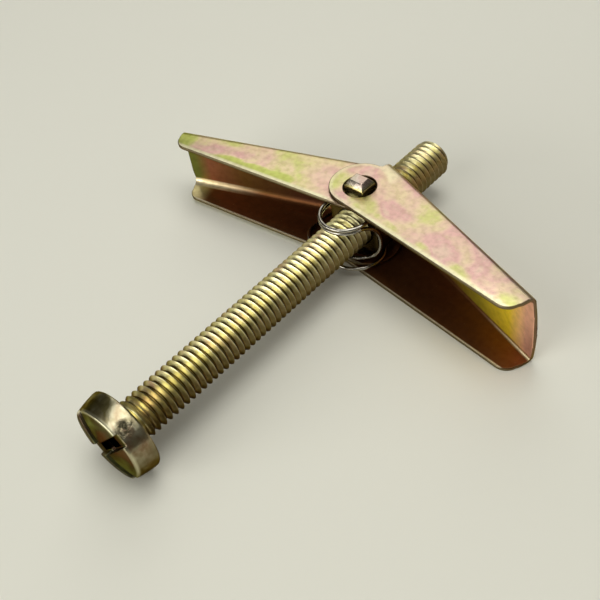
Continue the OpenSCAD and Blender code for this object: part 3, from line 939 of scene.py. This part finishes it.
coils += wire_bend(bridge_mid, (0, 0, -2.6), bridge_low, (1.2, 1, -0.1), 7)
coils += turn_of_wire(0, lower_front, lower_r, -50, -180, -layer_1, -layer_1)
coils += turn_of_wire(0, lower_back, lower_r, 180, 90, -layer_1, -layer_1)
coils += turn_of_wire(0, lower_back, lower_r, 75, 15, -layer_1 - 0.05, -layer_2, 0, outer_back, outer_r)
coils += turn_of_wire(0, outer_back, outer_r, 0, -90, -layer_2, -layer_2)
hook_start = Vector((0, outer_back - outer_r, -layer_2))
hook_tip = Vector((-8.7, outer_back - 0.4, -layer_2))
leg_end = on_web(-1, left_leg_u, -layer_1)
left_leg = [hook_start]
left_leg += wire_bend(hook_start, (-4, 0, 0), hook_tip, (0.1, -2.1, 0), 10)
left_leg += [hook_tip]
left_leg += wire_bend(hook_tip, (0, 1.5, 0), leg_end, (-2, -0.6, 0), 7)
left_leg += [leg_end]

wire_tree, given, result = new_tree(
    "drawn_wire",
    "GeometryNodeTree",
    [
        ("Geometry", "NodeSocketGeometry", None),
        ("Wire radius", "NodeSocketFloat", wire_r * mm),
        ("Step", "NodeSocketFloat", wire_step),
        ("Sides", "NodeSocketInt", wire_sides),
        ("Material", "NodeSocketMaterial", None),
    ],
    [("Geometry", "NodeSocketGeometry")],
)
route = wire_tree.nodes.new("GeometryNodeMeshToCurve")
wire_tree.links.new(given["Geometry"], route.inputs[0])
smooth = wire_tree.nodes.new("GeometryNodeCurveSplineType")
smooth.spline_type = "CATMULL_ROM"
wire_tree.links.new(route.outputs[0], smooth.inputs["Curve"])
even = wire_tree.nodes.new("GeometryNodeResampleCurve")
even.mode = "LENGTH"
wire_tree.links.new(smooth.outputs[0], even.inputs["Curve"])
wire_tree.links.new(given["Step"], even.inputs["Length"])
section = wire_tree.nodes.new("GeometryNodeCurvePrimitiveCircle")
wire_tree.links.new(given["Sides"], section.inputs["Resolution"])
wire_tree.links.new(given["Wire radius"], section.inputs["Radius"])
drawn = wire_tree.nodes.new("GeometryNodeCurveToMesh")
drawn.inputs["Fill Caps"].default_value = True
wire_tree.links.new(even.outputs[0], drawn.inputs["Curve"])
wire_tree.links.new(section.outputs[0], drawn.inputs["Profile Curve"])
finish_tree(wire_tree, drawn.outputs[0], given["Material"], result["Geometry"])

spring_steel, tree, shader, place = new_finish("spring_steel", 1.0, 0.22)
peel = placed(tree, grain, Vector=place, Strength=0.2, Fineness=1.5)
film = tinted(tree, noise(tree, place, 420.0, detail=3.0, roughness=0.6), wire_stops)
tree.links.new(film, shader.inputs["Base Color"])
tree.links.new(peel["Normal"], shader.inputs["Normal"])
pivot = Vector((0, pivot_y / mm, 0))
for name, path in (("spring_coils", coils), ("spring_leg_right", right_leg), ("spring_leg_left", left_leg)):
    line = bpy.data.meshes.new(name)
    line.from_pydata([(p + pivot) * mm for p in path], [(i, i + 1) for i in range(len(path) - 1)], [])
    sizes = {"Wire radius": wire_r * mm, "Step": wire_step, "Sides": wire_sides}
    wire = grown(name, line, wire_tree, spring_steel, sizes)
    wire.data.set_sharp_from_angle(angle=math.radians(60))
    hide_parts("spring")
    if name == "spring_coils":
        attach(wire, "nut")
    elif name == "spring_leg_right":
        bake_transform(wire)
    else:
        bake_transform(wire)

# Floor, light and camera: a plain pale floor, which the head's rim and the outer
# wing's lower cheek touch, and a backdrop as pale, which only the camera sees.
# Soft lamps stand overhead, behind on the left, on the right and in front.
floor_z = -6.03 * mm
backdrop_colour = (0.64, 0.63, 0.53, 1.0)
floor_ends, backdrop_starts = 0.22, 0.60
bpy.ops.mesh.primitive_plane_add(size=3.0, location=(0.0, 0.0, floor_z))
floor = bpy.context.object
floor.name = "floor"
floor_paint, tree, shader, place = new_finish("floor_paint", 0.0, 0.6)
shader.inputs["Base Color"].default_value = (0.78, 0.77, 0.66, 1.0)
far_floor = tree.nodes.new("ShaderNodeEmission")
far_floor.inputs["Color"].default_value = backdrop_colour
seen = tree.nodes.new("ShaderNodeLightPath")
distance = tree.nodes.new("ShaderNodeVectorMath")
distance.operation = "LENGTH"
tree.links.new(place, distance.inputs[0])
far_off = fade(tree, distance.outputs["Value"], floor_ends, backdrop_starts)
floor_mix = tree.nodes.new("ShaderNodeMixShader")
tree.links.new(maths(tree, "MULTIPLY", far_off, seen.outputs["Is Camera Ray"]), floor_mix.inputs["Fac"])
tree.links.new(shader.outputs["BSDF"], floor_mix.inputs[1])
tree.links.new(far_floor.outputs["Emission"], floor_mix.inputs[2])
tree.links.new(floor_mix.outputs["Shader"], tree.nodes["Material Output"].inputs["Surface"])
floor.data.materials.append(floor_paint)

world = bpy.data.worlds.new("studio")
bpy.context.scene.world = world
world.use_nodes = True
tree = world.node_tree
background = tree.nodes["Background"]
background.inputs["Color"].default_value = (1.0, 0.99, 0.95, 1.0)
background.inputs["Strength"].default_value = 0.07
backdrop = tree.nodes.new("ShaderNodeBackground")
backdrop.inputs["Color"].default_value = backdrop_colour
seen = tree.nodes.new("ShaderNodeLightPath")
backdrop_mix = tree.nodes.new("ShaderNodeMixShader")
tree.links.new(seen.outputs["Is Camera Ray"], backdrop_mix.inputs["Fac"])
tree.links.new(background.outputs["Background"], backdrop_mix.inputs[1])
tree.links.new(backdrop.outputs["Background"], backdrop_mix.inputs[2])
tree.links.new(backdrop_mix.outputs["Shader"], tree.nodes["World Output"].inputs["Surface"])

lit_point = Vector((0.0, 0.03, 0.0))
for name, spot, width, height, power in (
    ("overhead", (0.04, 0.09, 0.60), 0.50, 0.38, 1.9),
    ("right", (0.38, 0.14, 0.50), 0.30, 0.30, 0.3),
    ("back_left", (-0.42, 0.50, 0.46), 0.58, 0.58, 1.15),
    ("front", (-0.18, -0.64, 0.18), 0.60, 0.26, 2.4),
    ("front_top", (-0.05, -0.44, 0.40), 0.36, 0.30, 0.7),
):
    lamp = bpy.data.lights.new(name, "AREA")
    lamp.shape = "RECTANGLE"
    lamp.energy = power
    lamp.size = width
    lamp.size_y = height
    light = bpy.data.objects.new(name, lamp)
    light.location = spot
    light.rotation_euler = (Vector(spot) - lit_point).to_track_quat("Z", "Y").to_euler()
    bpy.context.scene.collection.objects.link(light)

lens = bpy.data.cameras.new("camera")
lens.lens = 59.05
lens.sensor_width = 36.0
lens.clip_start = 0.01
lens.clip_end = 10.0
camera = bpy.data.objects.new("camera", lens)
camera.location = (0.073483, -0.031504, 0.093688)
camera.rotation_euler = Euler((math.radians(44.0620), math.radians(7.5619), math.radians(41.8408)), "XYZ")
bpy.context.scene.collection.objects.link(camera)
bpy.context.scene.camera = camera
bpy.context.scene.view_settings.view_transform = "Standard"
